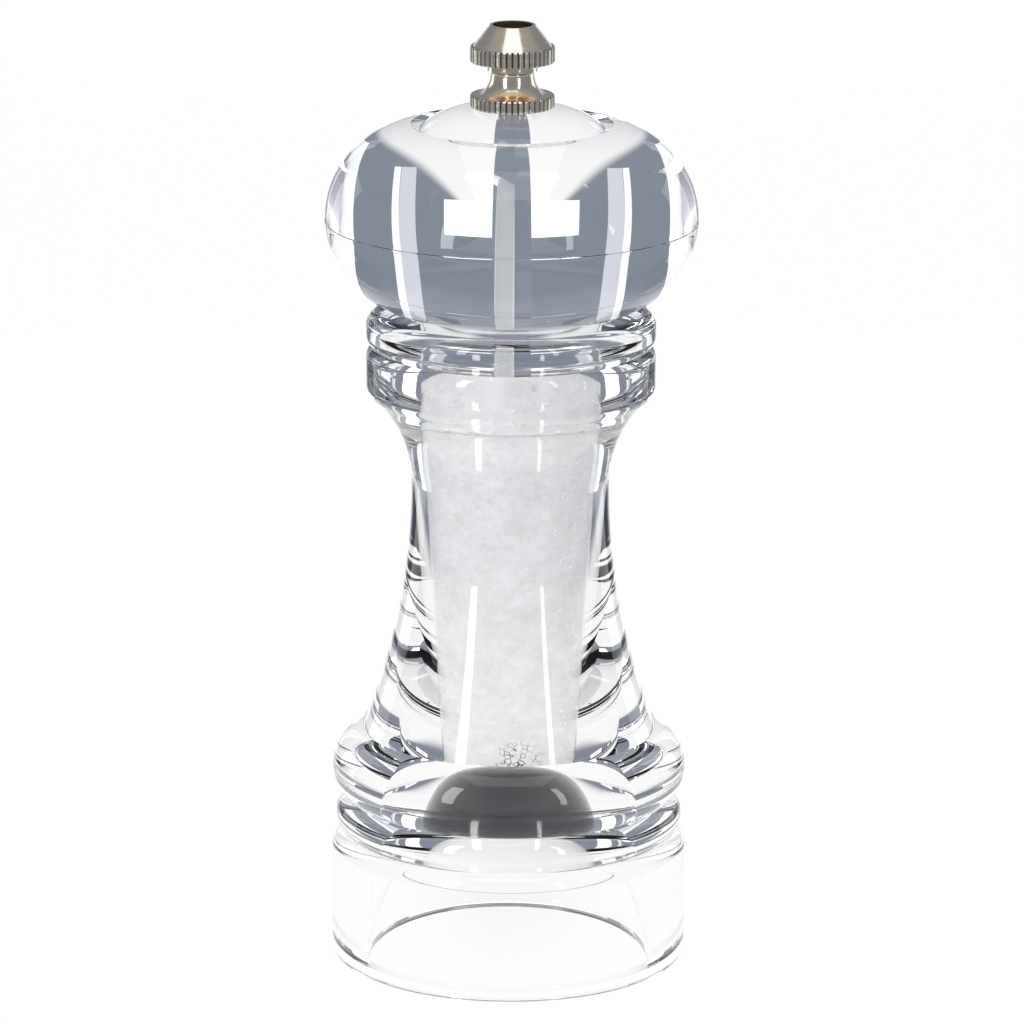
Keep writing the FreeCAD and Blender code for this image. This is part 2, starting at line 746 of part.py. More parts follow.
for item in doc.Objects:
    if {"Invalid", "Error"} & set(item.State):
        raise RuntimeError(f"{item.Name} failed: {item.State}")
for node in nodes:
    if node.Shape.isNull() or not node.Shape.isValid():
        raise RuntimeError(f"{node.Label} has no valid shape")
os.makedirs("parts", exist_ok=True)
for node in nodes:
    node.Shape.exportStep(f"parts/{node.Label}.step")
    print(f"{node.Label}: {len(node.Shape.Solids)} solid, {node.Shape.Volume:.1f} mm3")
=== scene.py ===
import math

import bpy
from bpy.props import FloatProperty, FloatVectorProperty, IntProperty, PointerProperty
from mathutils import Matrix, Vector


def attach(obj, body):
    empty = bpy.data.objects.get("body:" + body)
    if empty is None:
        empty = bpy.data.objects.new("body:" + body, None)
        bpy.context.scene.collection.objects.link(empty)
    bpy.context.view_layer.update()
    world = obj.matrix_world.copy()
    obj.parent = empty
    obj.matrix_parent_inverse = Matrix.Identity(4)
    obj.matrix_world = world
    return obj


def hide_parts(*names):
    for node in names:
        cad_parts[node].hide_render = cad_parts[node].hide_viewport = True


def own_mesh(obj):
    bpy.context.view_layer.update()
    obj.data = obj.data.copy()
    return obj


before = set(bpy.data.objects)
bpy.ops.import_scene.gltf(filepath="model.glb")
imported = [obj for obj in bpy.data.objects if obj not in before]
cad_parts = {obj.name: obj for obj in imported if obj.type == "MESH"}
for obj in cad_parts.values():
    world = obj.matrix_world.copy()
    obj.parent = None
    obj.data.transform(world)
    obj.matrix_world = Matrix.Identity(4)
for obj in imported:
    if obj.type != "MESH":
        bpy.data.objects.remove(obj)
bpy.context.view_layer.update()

bl_info = {
    "name": "Clear salt mill",
    "version": (1, 0, 0),
    "blender": (4, 5, 0),
    "location": "3D View > Sidebar > Salt Mill",
    "description": "Smooth clear shapes, salt and finishes over the solids of a turned salt mill",
    "category": "Object",
}

# Steps of the meshes: angles along arcs, the angle of a sharp edge, and counts round or along a piece
ARC_STEP = math.radians(3)
WAIST_STEP = math.radians(0.5)
LEAST_ARC_STEPS = 3
SHARP_ANGLE = math.radians(25)
KNURL_STEPS = 8
SHAFT_SEGMENTS = 64
THREAD_STEPS = 8
SALT_SEGMENTS = 96
SALT_STEPS = 40
COIL_STEPS = 48
WIRE_STEPS = 16

# Grain of all finishes: detail of its noise, the part of the noise that roughness follows, depth in metres
GRAIN_DETAIL = 4.0
GRAIN_MIDDLE = (0.3, 0.7)
RELIEF_DEPTH = 0.0001

# Painted shade in the knurl's grooves: how close to the surface it ends and how deep it goes, in depths of
# a groove
GROOVE_SHADE_END = 1 / 8
GROOVE_SHADE_FLOOR = 1.1

# Sides of the least and the greatest crystal, in usual widths
CRYSTAL_SCALES = ((0.6, 0.65, 0.7), (0.95, 1.0, 1.1))
# Painted shade in the gaps between salt crystals: widths at their spot and at the end of its reach, and
# the draw that opens them
GAP_SHADE_WIDTHS = (0.14, -0.02)
GAP_SHADE_DRAW = (0.4, 0.9)
SQUARE_MM_PER_SQUARE_M = 1e6


# Settings

def length(name, description, millimetres):
    return FloatProperty(
        name=name, description=description, default=millimetres / 1000, unit="LENGTH", precision=5
    )


def angle(name, description, degrees):
    return FloatProperty(
        name=name, description=description, default=math.radians(degrees), subtype="ANGLE"
    )


def colour(name, description, value):
    return FloatVectorProperty(
        name=name, description=description, default=value, subtype="COLOR", min=0.0, max=1.0, size=3
    )


def factor(name, description, value):
    return FloatProperty(
        name=name, description=description, default=value, subtype="FACTOR", min=0.0, max=1.0
    )


class MillBodySettings(bpy.types.PropertyGroup):
    """Outline and hollows of the clear body, as radii and heights over the table."""
    base_radius: length("Base radius", "Outside radius of the skirt", 30.0)
    base_edge: length("Base edge", "Round of the bottom edge", 1.5)
    skirt_top: length("Skirt top", "Height where the shoulder starts", 19.2)
    shoulder_groove: length("Shoulder groove", "Depth of the groove over the skirt", 2.1)
    shoulder_groove_height: length("Shoulder groove height", "Height of that groove", 22.1)
    bead_round: length("Bead round", "Round of the bead", 3.6)
    bulge_groove: length("Bulge groove", "Depth of the groove under the bulge", 2.65)
    bulge_groove_height: length("Bulge groove height", "Height of that groove", 28.1)
    bulge_round: length("Bulge round", "Round of the bulge", 6.7)
    foot_step: length("Foot step", "Set-back of the waist's foot from the base radius", 5.2)
    foot_height: length("Foot height", "Height where the waist leaves the bulge", 39.85)
    waist_radius: length("Waist radius", "Least radius of the waist", 16.6)
    waist_height: length("Waist height", "Height of the least radius", 82.4)
    flare_step: length("Flare step", "Set-back of the flare's end from the rings", 1.65)
    flare_height: length("Flare height", "Height where the flare meets the lower ring", 97.1)
    ring_radius: length("Ring radius", "Radius of the two neck rings", 24.25)
    lower_ring_bottom: length("Lower ring bottom", "Height where the lower ring turns upright", 99.6)
    ring_groove: length("Ring groove", "Depth of the groove between the rings", 0.95)
    ring_groove_height: length("Ring groove height", "Height of that groove", 106.0)
    ring_edge: length("Ring edge", "Height of the rounded edges at the groove", 2.1)
    top: length("Top", "Height of the body", 112.0)
    rim_round: length("Rim round", "Round of the top edge", 2.6)
    skirt_wall: length("Skirt wall", "Wall of the skirt at the table", 6.2)
    cavity_draft: length("Cavity draft", "Narrowing of the cavity up to its ceiling", 0.6)
    ceiling: length("Ceiling", "Height of the cavity's ceiling", 19.5)
    ceiling_round: length("Ceiling round", "Round at the ceiling's edge", 1.5)
    seat_radius: length("Seat radius", "Radius of the mechanism's seat", 14.05)
    seat_top: length("Seat top", "Height of the seat's end", 32.95)
    hopper_foot: length("Hopper foot", "Radius of the hopper at the seat", 12.55)
    hopper_mouth: length("Hopper mouth", "Height where the taper ends", 96.0)
    neck_bore: length("Neck bore", "Radius of the bore for the head's spigot", 15.1)
    neck_ledge: length("Neck ledge", "Step from the bore to the hopper's mouth", 0.35)
    mouth_edge: length("Mouth edge", "Chamfer of the bore's mouth", 0.5)
    segments: IntProperty(name="Segments", description="Steps round the axis", default=256, min=32)


class MillHeadSettings(bpy.types.PropertyGroup):
    """Outline of the solid clear head."""
    gap: length("Gap", "Gap between the head and the body", 0.2)
    radius: length("Radius", "Largest radius of the bulb", 31.1)
    lower_round: length("Lower round", "Round of the bulb's lower half", 15.6)
    upper_round: length("Upper round", "Round of the bulb's upper half", 15.9)
    spigot_length: length("Spigot length", "Length of the spigot in the neck", 7.6)
    spigot_gap: length("Spigot gap", "Play of the spigot in the neck, on the radius", 0.3)
    spigot_edge: length("Spigot edge", "Chamfer of the spigot's end", 0.8)
    rim_radius: length("Rim radius", "Radius of the rim on top", 16.9)
    rim_width: length("Rim width", "Width of the sloping step inside the rim", 1.5)
    dome_groove: length("Dome groove", "Depth of that step", 0.7)
    dome_rise: length("Dome rise", "Rise of the dome from the step to the nut", 3.5)
    dome_round: length("Dome round", "Round of the dome", 12.5)
    nut_seat_radius: length("Nut seat radius", "Radius of the flat under the nut", 7.3)
    seam_drop: length("Seam drop", "Height of the mould seam under the widest part", 0.4)
    seam_width: length("Seam width", "Half width of the mould seam", 0.09)
    seam_depth: length("Seam depth", "Depth of the mould seam", 0.06)


class MillNutSettings(bpy.types.PropertyGroup):
    """Outline and knurl of the nut on top, as radii and heights over its underside."""
    gap: length("Gap", "Play under the nut", 0.1)
    radius: length("Radius", "Radius of flange and ring", 7.05)
    height: length("Height", "Height of the nut", 13.8)
    edge: length("Edge", "Chamfer of the edges", 0.2)
    flange_height: length("Flange height", "Thickness of the flange", 2.1)
    neck_flare: length("Neck flare", "Radius of the neck at the flange", 5.7)
    neck_radius: length("Neck radius", "Least radius of the neck", 3.6)
    neck_waist: length("Neck waist", "Height of the least radius", 5.55)
    collar_radius: length("Collar radius", "Radius of the neck under the ring", 4.15)
    collar_cove: length("Collar cove", "Rise of the cove under the collar", 0.6)
    ring_bottom: length("Ring bottom", "Underside of the upper ring", 7.6)
    ring_top: length("Ring top", "Top of the upper ring", 10.3)
    cone_step: length("Cone step", "Step from the ring's top to the cone", 0.5)
    tip_radius: length("Tip radius", "Radius at the top of the cone", 3.8)
    tip_wall: length("Tip wall", "Wall round the hole at the top", 0.5)
    hole_floor: length("Hole floor", "Height of the hole's floor", 8.0)
    bore: length("Bore", "Radius of the threaded bore", 1.55)
    knurl_count: IntProperty(
        name="Knurl count", description="Grooves round each ring", default=44, min=3
    )
    knurl_depth: length("Knurl depth", "Depth of the grooves", 0.32)
    knurl_width: length("Knurl width", "Width of the grooves at the surface", 0.62)
    # Painted shade: how dark the knurl's grooves are painted against the plating
    groove_shade: factor("Groove tone", "Tone of the dulled grooves against the plating", 0.35)


class MillShaftSettings(bpy.types.PropertyGroup):
    """Square rod with a threaded top and a turned lower end."""
    side: length("Side", "Width across the flats", 3.0)
    corner: length("Corner", "Rounding that the corners lose", 0.12)
    turn: angle("Turn", "Turn of the flats about the axis", 54.0)
    square_gap: length("Square gap", "Play of the square holes on each side", 0.08)
    square_bottom: length("Square bottom", "Height where the square starts", 19.15)
    thread_drop: length("Thread drop", "End of the square under the nut's seat", 1.6)
    thread_engagement: length("Thread engagement", "Thread inside the nut", 7.4)
    thread_radius: length("Thread radius", "Radius over the thread's crests", 1.45)
    thread_depth: length("Thread depth", "Depth of the thread", 0.27)
    thread_pitch: length("Thread pitch", "Rise of one turn of the thread", 0.5)
    journal_radius: length("Journal radius", "Radius of the lower end", 1.4)
    journal_bottom: length("Journal bottom", "Height of the lower end", 15.2)
    clip_groove_radius: length("Clip groove radius", "Radius in the clip's groove", 1.05)
    clip_groove_bottom: length("Clip groove bottom", "Height of the groove's lower side", 18.5)


class MillSaltSettings(bpy.types.PropertyGroup):
    """Coarse salt in the hopper and the spring over the burrs."""
    gap: length("Gap", "Gap between the salt and the walls", 0.1)
    headroom: length("Headroom", "Space between the salt and the spigot at the wall", 1.0)
    mound: length("Mound", "Rise of the salt towards the shaft", 0.4)
    hole_radius: length("Hole radius", "Radius of the hole round the shaft", 2.22)
    grain: length("Grain", "Width of a usual crystal", 0.9)
    proud: length("Proud", "How far the crystals stand out of the bed at most", 0.3)
    density: FloatProperty(
        name="Density", description="Crystals for each square millimetre of surface",
        default=1.2, min=0.0
    )
    seed: IntProperty(name="Seed", description="Start of the random placing", default=7)
    tint: factor("Tint", "Tone of the darkest crystals against the palest", 0.93)
    # Painted shade: where, how far and how dark the gaps between crystals are painted
    gap_shade_spot: FloatVectorProperty(
        name="Gap spot", description="Place at the foot where dark gaps show between the crystals",
        subtype="TRANSLATION", unit="LENGTH", default=(0.0015, -0.0124, 0.0368)
    )
    gap_shade_reach: length("Gap reach", "How far those gaps reach", 5.0)
    gap_shade: factor("Gap tone", "Tone of those gaps against the crystals", 0.12)
    spring_wire: length("Spring wire", "Thickness of the spring's wire", 0.6)
    spring_radius: length("Spring radius", "Mean radius of the spring", 3.0)
    spring_bottom: length("Spring bottom", "Height of the spring's lower end", 23.6)
    spring_top: length("Spring top", "Height of the spring's upper end", 29.55)
    spring_turns: IntProperty(name="Spring turns", description="Turns of the spring", default=4, min=1)
    spring_travel: length("Spring travel", "How far the spring is pressed at the finest setting", 1.0)
    spring_gap: length("Spring gap", "Play of the spring at both ends", 0.05)


class MillFinishSettings(bpy.types.PropertyGroup):
    """Colours and finishes."""
    acrylic: colour("Acrylic", "Tint of the clear acrylic", (0.985, 0.988, 0.995))
    acrylic_ior: FloatProperty(
        name="Acrylic IOR", description="Refractive index of the acrylic", default=1.49, min=1.0, max=2.0
    )
    acrylic_pass: colour("Acrylic pass", "Light that it passes to what lies behind", (0.97, 0.975, 0.98))
    nickel: colour("Nickel", "Nickel plating", (0.88, 0.76, 0.62))
    aluminium: colour("Aluminium", "Drawn shaft", (0.80, 0.80, 0.80))
    salt: colour("Salt", "Salt crystals", (0.90, 0.895, 0.885))
    dark_plastic: colour("Dark plastic", "Upper half of the burr housing", (0.018, 0.018, 0.021))
    pale_plastic: colour("Pale plastic", "Shaft bush and lower half of the housing", (0.88, 0.88, 0.86))
    housing_part: length("Housing part", "Height where the housing turns from pale to dark", 25.0)
    part_edge: length("Part edge", "Height over which it turns", 0.2)
    ceramic: colour("Ceramic", "Burrs", (0.76, 0.75, 0.71))
    steel: colour("Steel", "Spring, washers, clip, bridge and screws", (0.50, 0.50, 0.50))


class MillStageSettings(bpy.types.PropertyGroup):
    """Floor, lamps and camera."""
    target: length("Target", "Height on the axis that the camera looks at", 77.1)
    aside: length("Aside", "Sideways offset of the camera", 0.3)
    distance: length("Distance", "Distance from the camera to the target", 1121.2)
    elevation: angle("Elevation", "Angle of the camera over the table", 14.6)
    roll: angle("Roll", "Tilt of the picture", 0.3)
    view: angle("View", "Width of the camera's view", 8.79)
    room: colour("Room", "Grey of the room round the table", (0.235, 0.262, 0.312))
    fill: colour("Fill", "Even light of the room on matt surfaces", (0.94, 0.915, 0.895))
    ceiling: colour("Ceiling", "Pale ceiling of the room", (0.36, 0.365, 0.38))
    ceiling_low: angle("Ceiling low", "Angle over the table where the ceiling starts", 35.0)
    ceiling_high: angle("Ceiling high", "Angle over the table where it has its full tone", 50.0)
    floor: colour("Floor", "White lane of the floor", (1.0, 1.0, 1.0))
    floor_roughness: factor("Floor roughness", "Roughness of the floor", 0.7)
    floor_glow: factor("Floor glow", "Share of the floor's tone that shadows don't change", 0.95)
    floor_reach: length("Floor reach", "Half width of the floor", 3000.0)
    floor_rise: length("Floor rise", "Hair's rise of the floor into the foot of the base", 0.02)
    lane_width: length("Lane width", "Half width of the white lane beside the mill", 88.0)
    lane_spread: FloatProperty(
        name="Lane spread", description="Widening of the white lane for each length behind the mill",
        default=0.08
    )
    lane_edge: length("Lane edge", "Width of the lane's soft edge", 45.0)
    lane_length: length("Lane length", "Reach of the lane behind the mill", 1045.0)
    lane_front: length("Lane front", "Reach of the lane before the mill", 50.0)


class MillSettings(bpy.types.PropertyGroup):
    """All settings of the salt mill."""
    body: PointerProperty(type=MillBodySettings, name="Body", description="Clear body")
    head: PointerProperty(type=MillHeadSettings, name="Head", description="Clear head")
    nut: PointerProperty(type=MillNutSettings, name="Nut", description="Knurled nut")
    shaft: PointerProperty(type=MillShaftSettings, name="Shaft", description="Square shaft")
    salt: PointerProperty(type=MillSaltSettings, name="Salt", description="Salt and spring")
    finish: PointerProperty(type=MillFinishSettings, name="Finish", description="Colours")
    stage: PointerProperty(type=MillStageSettings, name="Stage", description="Floor, lamps, camera")


# Outlines and turned meshes

def upright_arc(drop, rise):
    """Radius of an arc that leaves an upright side and moves by drop across over rise along it."""
    return (rise * rise + drop * drop) / (2 * drop)


def arc_points(start, end, radius, turn, step=ARC_STEP):
    """Points after start on the lesser arc to end, to the left for turn 1, to the right for -1."""
    chord = end - start
    half = chord.length / 2
    left = Vector((-chord.y, chord.x)) / chord.length
    centre = (start + end) / 2 + left * (turn * math.sqrt(max(radius * radius - half * half, 0)))
    sweep = 2 * math.asin(min(half / radius, 1))
    count = max(LEAST_ARC_STEPS, math.ceil(sweep / step))
    first = math.atan2(start.y - centre.y, start.x - centre.x)
    angles = [first + turn * sweep * k / count for k in range(1, count)]
    return [centre + radius * Vector((math.cos(a), math.sin(a))) for a in angles] + [end]


def outline(steps):
    """Points of an outline. A step is a radius and a height, and for an arc its radius, turn and step."""
    points = [Vector(steps[0][:2])]
    for step in steps[1:]:
        end = Vector(step[:2])
        points += arc_points(points[-1], end, *step[2:]) if len(step) > 2 else [end]
    return points


def round_angles(count, first=0.0):
    """Equal angles round the axis."""
    return [first + 2 * math.pi * k / count for k in range(count)]


def shaped_ring(height, angles, radius_at, most):
    """A ring of points whose radius is a function of the angle, and at most the given one."""
    ring = []
    for a in angles:
        radius = min(radius_at(a), most)
        ring.append((radius * math.cos(a), radius * math.sin(a), height))
    return ring


def round_rings(points, angles):
    """Round rings through the points of an outline, which are radii and heights."""
    rings = []
    for radius, height in points:
        rings.append([(radius * math.cos(a), radius * math.sin(a), height) for a in angles])
    return rings


def square_ring(half, turn, corner, height, angles):
    """A ring on a square of that half width, with its corners cut back by corner."""

    def side(a):
        return half / max(abs(math.cos(a - turn)), abs(math.sin(a - turn)))

    return shaped_ring(height, angles, side, half * math.sqrt(2) - corner)


def ringed_mesh(name, rings, closed):
    """A smooth mesh over rings of equal count. Closed joins the last ring to the first."""
    count = len(rings[0])
    vertices = [point for ring in rings for point in ring]
    faces = []
    for low in range(len(rings) if closed else len(rings) - 1):
        high = (low + 1) % len(rings)
        for k in range(count):
            after = (k + 1) % count
            faces.append((low * count + k, low * count + after, high * count + after, high * count + k))
    if not closed:
        faces.append(tuple(reversed(range(count))))
        faces.append(tuple(range((len(rings) - 1) * count, len(rings) * count)))
    mesh = bpy.data.meshes.new(name)
    mesh.from_pydata(vertices, [], faces)
    mesh.validate()
    mesh.shade_smooth()
    mesh.set_sharp_from_angle(angle=SHARP_ANGLE)
    return mesh


def add_object(name, data):
    """A new object in the scene."""
    thing = bpy.data.objects.new(name, data)
    bpy.context.scene.collection.objects.link(thing)
    return thing


def add_piece(name, mesh, material, body, *nodes):
    """Puts a mesh in the scene as the piece that stands for these nodes and rides on their body."""
    piece = add_object(name, mesh)
    mesh.materials.clear()
    mesh.materials.append(material)
    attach(piece, body)
    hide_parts(*nodes)
    return piece


# Nodes

def feed(tree, node, inputs):
    """Links outputs to a node's named or numbered inputs, or sets the inputs' own values."""
    for key, value in inputs.items():
        if isinstance(value, bpy.types.NodeSocket):
            tree.links.new(value, node.inputs[key])
        else:
            node.inputs[key].default_value = value


def add_node(tree, kind, inputs=None, **options):
    """A new node with these options and inputs."""
    node = tree.nodes.new(kind)
    for name, value in options.items():
        setattr(node, name, value)
    feed(tree, node, inputs or {})
    return node


def new_group(name, kind, inputs, outputs):
    """A node group with these sockets, and what its input node gives."""
    tree = bpy.data.node_groups.new(name, kind)
    for in_out, sockets in (("INPUT", inputs), ("OUTPUT", outputs)):
        for label, value, default in sockets:
            socket = tree.interface.new_socket(label, in_out=in_out, socket_type=f"NodeSocket{value}")
            if default is not None:
                socket.default_value = default
    return tree, tree.nodes.new("NodeGroupInput").outputs


def place(tree, kind="Object"):
    """Where a point lies."""
    return tree.nodes.new("ShaderNodeTexCoord").outputs[kind]


def axes(tree, vector):
    """The parts X, Y and Z of a vector."""
    return add_node(tree, "ShaderNodeSeparateXYZ", {"Vector": vector}).outputs


def maths(tree, operation, first, second=0.0, clamp=False):
    """The value that a Math node makes of two values."""
    inputs = {0: first, 1: second}
    return add_node(tree, "ShaderNodeMath", inputs, operation=operation, use_clamp=clamp).outputs["Value"]


def vector_maths(tree, operation, first, second=(0.0, 0.0, 0.0)):
    """The outputs that a Vector Math node makes of two vectors."""
    return add_node(tree, "ShaderNodeVectorMath", {0: first, 1: second}, operation=operation).outputs


def scaled(tree, vector, amount):
    """A vector or colour times a value."""
    inputs = {0: vector, "Scale": amount}
    return add_node(tree, "ShaderNodeVectorMath", inputs, operation="SCALE").outputs["Vector"]


def ramp(tree, value, start, end, low=0.0, high=1.0, shape="LINEAR"):
    """Goes from low to high as the value goes from start to end."""
    inputs = {"Value": value, "From Min": start, "From Max": end, "To Min": low, "To Max": high}
    return add_node(tree, "ShaderNodeMapRange", inputs, interpolation_type=shape).outputs["Result"]


def blend(tree, share, first, second):
    """A colour that goes from the first to the second with its share."""
    inputs = {"Factor": share, "A": first, "B": second}
    return add_node(tree, "ShaderNodeMix", inputs, data_type="RGBA").outputs["Result"]


# Materials

def grain_group():
    """Mottled colour and height that run along any direction: streaks, turning marks or plain grain."""
    known = bpy.data.node_groups.get("mill_grain")
    if known:
        return known
    tree, inputs = new_group("mill_grain", "ShaderNodeTree", (
        ("Stretch", "Vector", (1.0, 1.0, 1.0)),
        ("Scale", "Float", 400.0),
        ("Dark", "Color", (0.0, 0.0, 0.0, 1.0)),
        ("Light", "Color", (1.0, 1.0, 1.0, 1.0)),
        ("Rough low", "Float", 0.3),
        ("Rough high", "Float", 0.4),
    ), (
        ("Colour", "Color", None),
        ("Roughness", "Float", None),
        ("Height", "Float", None),
    ))
    stretched = vector_maths(tree, "MULTIPLY", place(tree), inputs["Stretch"])["Vector"]
    noise = add_node(tree, "ShaderNodeTexNoise", {
        "Vector": stretched, "Scale": inputs["Scale"], "Detail": GRAIN_DETAIL,
    }).outputs["Fac"]
    add_node(tree, "NodeGroupOutput", {
        "Colour": blend(tree, noise, inputs["Dark"], inputs["Light"]),
        "Roughness": ramp(tree, noise, *GRAIN_MIDDLE, inputs["Rough low"], inputs["Rough high"]),
        "Height": noise,
    })
    return tree


def shaded(value, amount=1.0):
    """A colour, made darker or lighter by a share, as four numbers."""
    return tuple(min(1.0, channel * amount) for channel in value) + (1.0,)


def grain_material(
    name, value, spread, rough, scale, stretch=(1.0, 1.0, 1.0), bump=0.0, metallic=0.0, tone=None
):
    """A Principled material whose colour, roughness and relief follow the grain group.

    A tone function takes the node tree and the grain's colour, and gives the colour that is used.
    """
    known = bpy.data.materials.get(name)
    if known:
        return known
    material = bpy.data.materials.new(name)
    material.use_nodes = True
    tree = material.node_tree
    grain = add_node(tree, "ShaderNodeGroup", node_tree=grain_group())
    feed(tree, grain, {
        "Stretch": stretch, "Scale": scale, "Rough low": rough[0], "Rough high": rough[1],
        "Dark": shaded(value, 1 - spread), "Light": shaded(value, 1 + spread),
    })
    colours = grain.outputs["Colour"]
    surface = {
        "Base Color": tone(tree, colours) if tone else colours,
        "Roughness": grain.outputs["Roughness"],
        "Metallic": metallic,
    }
    if bump:
        relief = {"Strength": bump, "Distance": RELIEF_DEPTH, "Height": grain.outputs["Height"]}
        surface["Normal"] = add_node(tree, "ShaderNodeBump", relief).outputs["Normal"]
    feed(tree, tree.nodes["Principled BSDF"], surface)
    return material


def mix_surface(tree, share, other):
    """Mixes another shader over the material's Principled one."""
    shader = tree.nodes["Principled BSDF"].outputs["BSDF"]
    mixed = add_node(tree, "ShaderNodeMixShader", {"Fac": share, 1: shader, 2: other})
    feed(tree, tree.nodes["Material Output"], {"Surface": mixed.outputs["Shader"]})


def acrylic_material(finish):
    """Polished clear acrylic, which lets light through to the salt and the table without focusing it."""
    known = bpy.data.materials.get("polished_acrylic")
    if known:
        return known
    material = grain_material(
        "polished_acrylic", finish.acrylic, spread=0.008, rough=(0.0, 0.004), scale=60.0
    )
    tree = material.node_tree
    feed(tree, tree.nodes["Principled BSDF"], {"IOR": finish.acrylic_ior, "Transmission Weight": 1.0})
    path = tree.nodes.new("ShaderNodeLightPath").outputs
    lighting = maths(tree, "MAXIMUM", path["Is Shadow Ray"], path["Is Diffuse Ray"])
    passing = add_node(tree, "ShaderNodeBsdfTransparent", {"Color": shaded(finish.acrylic_pass)})
    mix_surface(tree, lighting, passing.outputs["BSDF"])
    return material


def settings():
    return bpy.context.scene.salt_mill


# Clear pieces

def nut_seat(mill):
    """Height of the flat that the nut sits on."""
    head = mill.head
    middle = mill.body.top + head.gap + head.lower_round
    across = head.rim_radius - head.radius + head.upper_round
    rim = middle + math.sqrt(head.upper_round ** 2 - across ** 2)
    return rim - head.dome_groove + head.dome_rise


class MILL_OT_body(bpy.types.Operator):
    """Clear body with its neck rings, waist, bulge, bead and hollow skirt."""
    bl_idname = "mill.body"
    bl_label = "Clear body"

    def execute(self, context):
        mill = settings()
        b = mill.body
        groove = upright_arc(b.ring_groove, b.ring_edge)
        foot = b.base_radius - b.foot_step
        flare = b.ring_radius - b.flare_step
        cavity = b.base_radius - b.skirt_wall
        cavity_top = cavity - b.cavity_draft
        points = outline([
            (cavity, 0),
            (b.base_radius - b.base_edge, 0),
            (b.base_radius, b.base_edge, b.base_edge, 1),
            (b.base_radius, b.skirt_top),
            (b.base_radius - b.shoulder_groove, b.shoulder_groove_height,
             upright_arc(b.shoulder_groove, b.shoulder_groove_height - b.skirt_top), 1),
            (b.base_radius - b.bulge_groove, b.bulge_groove_height, b.bead_round, 1),
            (foot, b.foot_height, b.bulge_round, 1),
            (b.waist_radius, b.waist_height,
             upright_arc(foot - b.waist_radius, b.waist_height - b.foot_height), -1, WAIST_STEP),
            (flare, b.flare_height,
             upright_arc(flare - b.waist_radius, b.flare_height - b.waist_height), -1),
            (b.ring_radius, b.lower_ring_bottom,
             upright_arc(b.flare_step, b.lower_ring_bottom - b.flare_height), 1),
            (b.ring_radius, b.ring_groove_height - b.ring_edge),
            (b.ring_radius - b.ring_groove, b.ring_groove_height, groove, 1),
            (b.ring_radius, b.ring_groove_height + b.ring_edge, groove, 1),
            (b.ring_radius, b.top - b.rim_round),
            (b.ring_radius - b.rim_round, b.top, b.rim_round, 1),
            (b.neck_bore + b.mouth_edge, b.top),
            (b.neck_bore, b.top - b.mouth_edge),
            (b.neck_bore, b.hopper_mouth),
            (b.neck_bore - b.neck_ledge, b.hopper_mouth),
            (b.hopper_foot, b.seat_top),
            (b.seat_radius, b.seat_top),
            (b.seat_radius, b.ceiling),
            (cavity_top - b.ceiling_round, b.ceiling),
            (cavity_top, b.ceiling - b.ceiling_round, b.ceiling_round, -1),
        ])
        angles = round_angles(b.segments)
        mesh = ringed_mesh("clear_body", round_rings(points, angles), True)
        piece = add_piece("clear_body", mesh, acrylic_material(mill.finish), "mill_body", "body")
        return {"FINISHED"}


class MILL_OT_head(bpy.types.Operator):
    """Clear head: bulb, low dome, spigot, mould seam and square hole."""
    bl_idname = "mill.head"
    bl_label = "Clear head"

    def execute(self, context):
        mill = settings()
        b, h, s = mill.body, mill.head, mill.shaft
        bottom = b.top + h.gap
        end = bottom - h.spigot_length
        spigot = b.neck_bore - h.spigot_gap
        middle = bottom + h.lower_round
        seat = nut_seat(mill)
        rim = seat - h.dome_rise + h.dome_groove

        def bulb_radius(height):
            across = math.sqrt(h.lower_round ** 2 - (middle - height) ** 2)
            return h.radius - h.lower_round + across

        seam = middle - h.seam_drop
        seam_low, seam_high = seam - h.seam_width, seam + h.seam_width
        points = outline([
            (spigot - h.spigot_edge, end),
            (spigot, end + h.spigot_edge),
            (spigot, bottom),
            (h.radius - h.lower_round, bottom),
            (bulb_radius(seam_low), seam_low, h.lower_round, 1),
            (bulb_radius(seam) + h.seam_depth, seam),
            (bulb_radius(seam_high), seam_high),
            (h.radius, middle, h.lower_round, 1),
            (h.rim_radius, rim, h.upper_round, 1),
            (h.rim_radius - h.rim_width, rim - h.dome_groove),
            (h.nut_seat_radius, seat, h.dome_round, 1),
        ])
        angles = round_angles(b.segments, s.turn + math.pi / 4)
        half = s.side / 2 + s.square_gap
        rings = [square_ring(half, s.turn, 0.0, end, angles)]
        rings += round_rings(points, angles)
        rings += [square_ring(half, s.turn, 0.0, seat, angles)]
        mesh = ringed_mesh("clear_head", rings, True)
        piece = add_piece("clear_head", mesh, acrylic_material(mill.finish), "head", "head")
        return {"FINISHED"}


# Metal pieces

def nickel_material(mill):
    """Turned nickel, with painted shade that darkens the grooves of the knurl."""
    nut = mill.nut

    def darkened(tree, plating):
        flat = vector_maths(tree, "MULTIPLY", place(tree), (1.0, 1.0, 0.0))["Vector"]
        reach = vector_maths(tree, "LENGTH", flat)["Value"]
        # Painted shade: the plating is darkened toward the bottom of each knurl groove
        bottom, end = nut.radius - nut.knurl_depth, nut.radius - nut.knurl_depth * GROOVE_SHADE_END
        groove = ramp(tree, reach, bottom, end, nut.groove_shade, 1.0)
        inside = maths(tree, "LESS_THAN", reach, nut.radius - nut.knurl_depth * GROOVE_SHADE_FLOOR)
        return scaled(tree, plating, maths(tree, "MAXIMUM", groove, inside))

    return grain_material(
        "bright_nickel", mill.finish.nickel, spread=0.08, rough=(0.10, 0.20), scale=260.0,
        stretch=(0.4, 0.4, 9.0), bump=0.15, metallic=1.0, tone=darkened
    )


